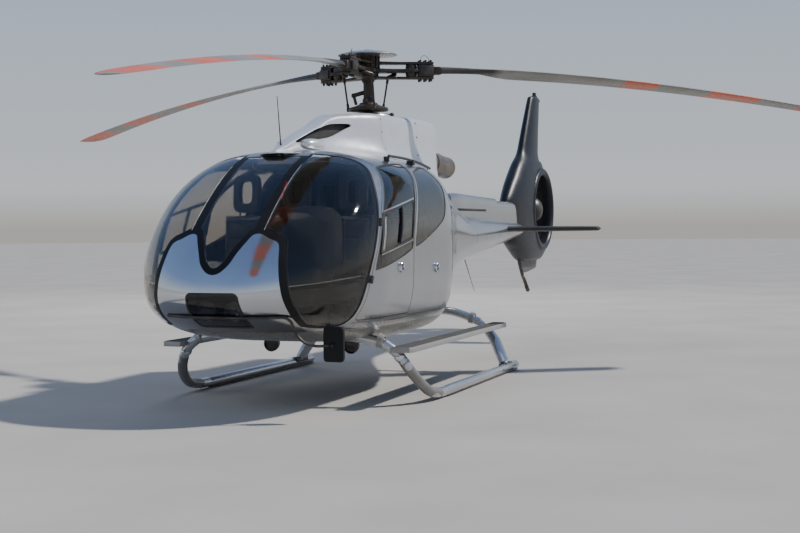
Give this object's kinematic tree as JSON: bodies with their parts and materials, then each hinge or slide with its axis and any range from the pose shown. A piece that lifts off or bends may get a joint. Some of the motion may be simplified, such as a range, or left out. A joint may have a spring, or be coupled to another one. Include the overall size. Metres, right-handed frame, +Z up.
{
  "type": "light single-engine helicopter with a fan in its tail fin",
  "caption": "Light helicopter on skids with a wide glazed cabin, hinged and sliding doors, a main rotor on a mast and a ducted fan in the tail fin.",
  "frame": {"origin": "on the ground, under the middle of the overall box, rotor blades included", "axes": "+X to the nose, +Y to port, +Z up"},
  "size_m": [12.5782, 9.4246, 3.475],
  "materials": {
    "silver_paint": "satin",
    "cowl_paint": "satin",
    "black_frame": "satin",
    "dark_glass": "gloss",
    "dark_blue_paint": "satin",
    "dark_metal": "satin",
    "blade_paint": "matte",
    "exhaust_metal": "satin",
    "panel_black": "matte",
    "seat_fabric": "matte",
    "brown_paint": "satin",
    "engine_metal": "satin"
  },
  "bodies": {
    "airframe": {"nose_panel": "silver_paint", "nose_light_window": "dark_glass", "windshield_frame": "black_frame", "windshield_left": "dark_glass", "windshield_right": "dark_glass", "windshield_centre": "dark_glass", "cabin_belly": "silver_paint", "cabin_shell": "silver_paint", "door_slide_left": "silver_paint", "door_slide_right": "silver_paint", "door_slide_window_left": "dark_glass", "door_slide_window_right": "dark_glass", "door_rail_left": "dark_metal", "door_rail_right": "dark_metal", "instrument_panel": "panel_black", "seat_pilot": "seat_fabric", "seat_front_pair": "seat_fabric", "seat_rear_bench": "seat_fabric", "rear_fuselage": "silver_paint", "cowl_front": "cowl_paint", "cowl_middle": "cowl_paint", "cowl_rear": "cowl_paint", "engine_block": "engine_metal", "gearbox": "engine_metal", "exhaust": "exhaust_metal", "tail_boom": "silver_paint", "stabilizer": "black_frame", "tail_drive_fairing": "silver_paint", "fan_shroud": "dark_blue_paint", "fan_stator": "dark_metal", "ventral_fin": "dark_metal", "tail_skid": "brown_paint", "skid_left": "silver_paint", "skid_right": "silver_paint", "cross_tube_front": "silver_paint", "cross_tube_rear": "silver_paint", "step_left": "silver_paint", "step_right": "silver_paint", "belly_lamp_left": "black_frame", "belly_lamp_right": "black_frame", "mirror": "black_frame", "roof_aerial": "dark_metal", "boom_aerial": "dark_metal"},
    "main_rotor": {"rotor_hub": "dark_metal", "rotor_mast": "dark_metal", "rotor_cap": "silver_paint", "blade_front": "blade_paint", "blade_left": "blade_paint", "blade_right": "blade_paint"},
    "fan_rotor": {"tail_fan": "dark_metal"},
    "front_door_left": {"door_front_left": "silver_paint", "door_front_window_left": "dark_glass"},
    "front_door_right": {"door_front_right": "silver_paint", "door_front_window_right": "dark_glass"},
    "hold_lid_left": {"baggage_lid_left": "silver_paint"},
    "hold_lid_right": {"baggage_lid_right": "silver_paint"}
  },
  "joints": [
    {"name": "main_rotor_spin", "type": "hinge", "parent": "airframe", "child": "main_rotor", "pos_m": [0.9504, 0.17945, 2.72], "axis": [0.0262, 0, 0.9997], "continuous": true},
    {"name": "tail_fan_spin", "type": "hinge", "parent": "airframe", "child": "fan_rotor", "pos_m": [-5.5996, 0.17945, 1.79], "axis": [0, 1, 0], "continuous": true},
    {"name": "front_door_left_hinge", "type": "hinge", "parent": "airframe", "child": "front_door_left", "pos_m": [3.3024, 1.21345, 1.588], "axis": [0.4349, 0.0038, -0.9005], "range_deg": [0, 70]},
    {"name": "front_door_right_hinge", "type": "hinge", "parent": "airframe", "child": "front_door_right", "pos_m": [3.3024, -0.85455, 1.588], "axis": [-0.4349, 0.0038, 0.9005], "range_deg": [0, 70]},
    {"name": "hold_lid_left_hinge", "type": "hinge", "parent": "airframe", "child": "hold_lid_left", "pos_m": [0.7504, 0.99345, 1.74], "axis": [0.9524, 0.3048, 0], "range_deg": [0, 80]},
    {"name": "hold_lid_right_hinge", "type": "hinge", "parent": "airframe", "child": "hold_lid_right", "pos_m": [0.7504, -0.63455, 1.74], "axis": [-0.9524, 0.3048, 0], "range_deg": [0, 80]}
  ]
}
